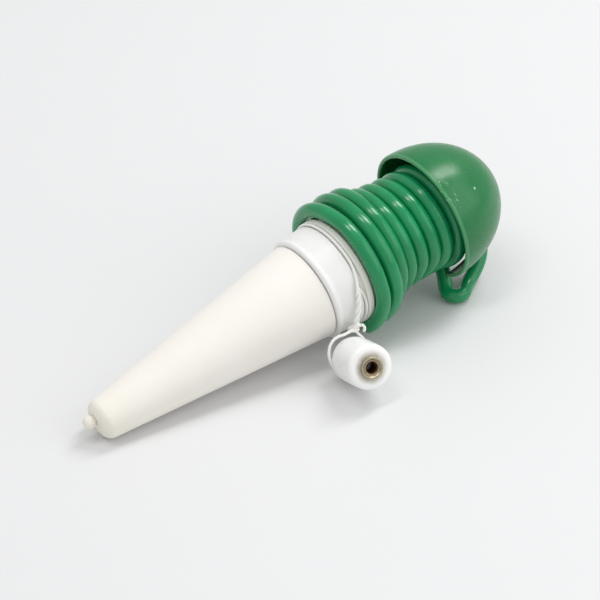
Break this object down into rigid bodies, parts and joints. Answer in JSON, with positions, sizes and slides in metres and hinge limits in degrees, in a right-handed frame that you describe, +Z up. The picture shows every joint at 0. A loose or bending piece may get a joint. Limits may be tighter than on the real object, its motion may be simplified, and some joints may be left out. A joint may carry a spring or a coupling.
{
  "type": "plant watering spike",
  "caption": "Porous ceramic cone with a pull-out plastic neck, a green hose wound round it under a dome cap, and a small barrel weight on a string.",
  "frame": {"origin": "on the surface that the spike lies on, under the middle of the object without its hose and string", "axes": "+X towards the domed cap, level; +Y sideways, away from the barrel weight; +Z up"},
  "size_m": [0.1618, 0.0646, 0.0518],
  "materials": {
    "ceramic": "matte, porous, unglazed",
    "white_plastic": "smooth, slightly translucent",
    "milky_plastic": "milky, translucent",
    "cream_plastic": "satin",
    "green_cap": "gloss, faintly translucent",
    "green_vinyl": "high gloss, soft",
    "black_rubber": "matte",
    "cotton": "spun, matte",
    "brass": "worn satin",
    "steel": "plain"
  },
  "bodies": {
    "cone": {"ceramic_cone": "ceramic"},
    "neck": {"neck_collar": "white_plastic", "collar_seal": "black_rubber", "hose_spool": "cream_plastic", "elbow_washer": "black_rubber", "hose_elbow": "white_plastic", "hose_coil": "green_vinyl", "hose_loop": "green_vinyl", "string_wrap": "cotton"},
    "cap": {"dome_cap": "green_cap"},
    "weight": {"string_drop": "cotton", "string_knot": "cotton", "string_sling": "cotton", "weight_barrel": "milky_plastic", "weight_core": "steel", "ferrule_front": "brass", "ferrule_rear": "brass"}
  },
  "joints": [
    {"name": "neck_pull", "type": "slide", "parent": "cone", "child": "neck", "axis": [0.9858, 0, 0.1681], "range_m": [0, 0.018]},
    {"name": "cap_lift", "type": "slide", "parent": "neck", "child": "cap", "axis": [0.9858, 0, 0.1681], "range_m": [0, 0.018]},
    {"name": "weight_swing", "type": "hinge", "parent": "neck", "child": "weight", "pos_m": [0.01125, -0.00876, 0.02889], "axis": [-0.9858, 0, -0.1681], "range_deg": [0, 75]}
  ]
}
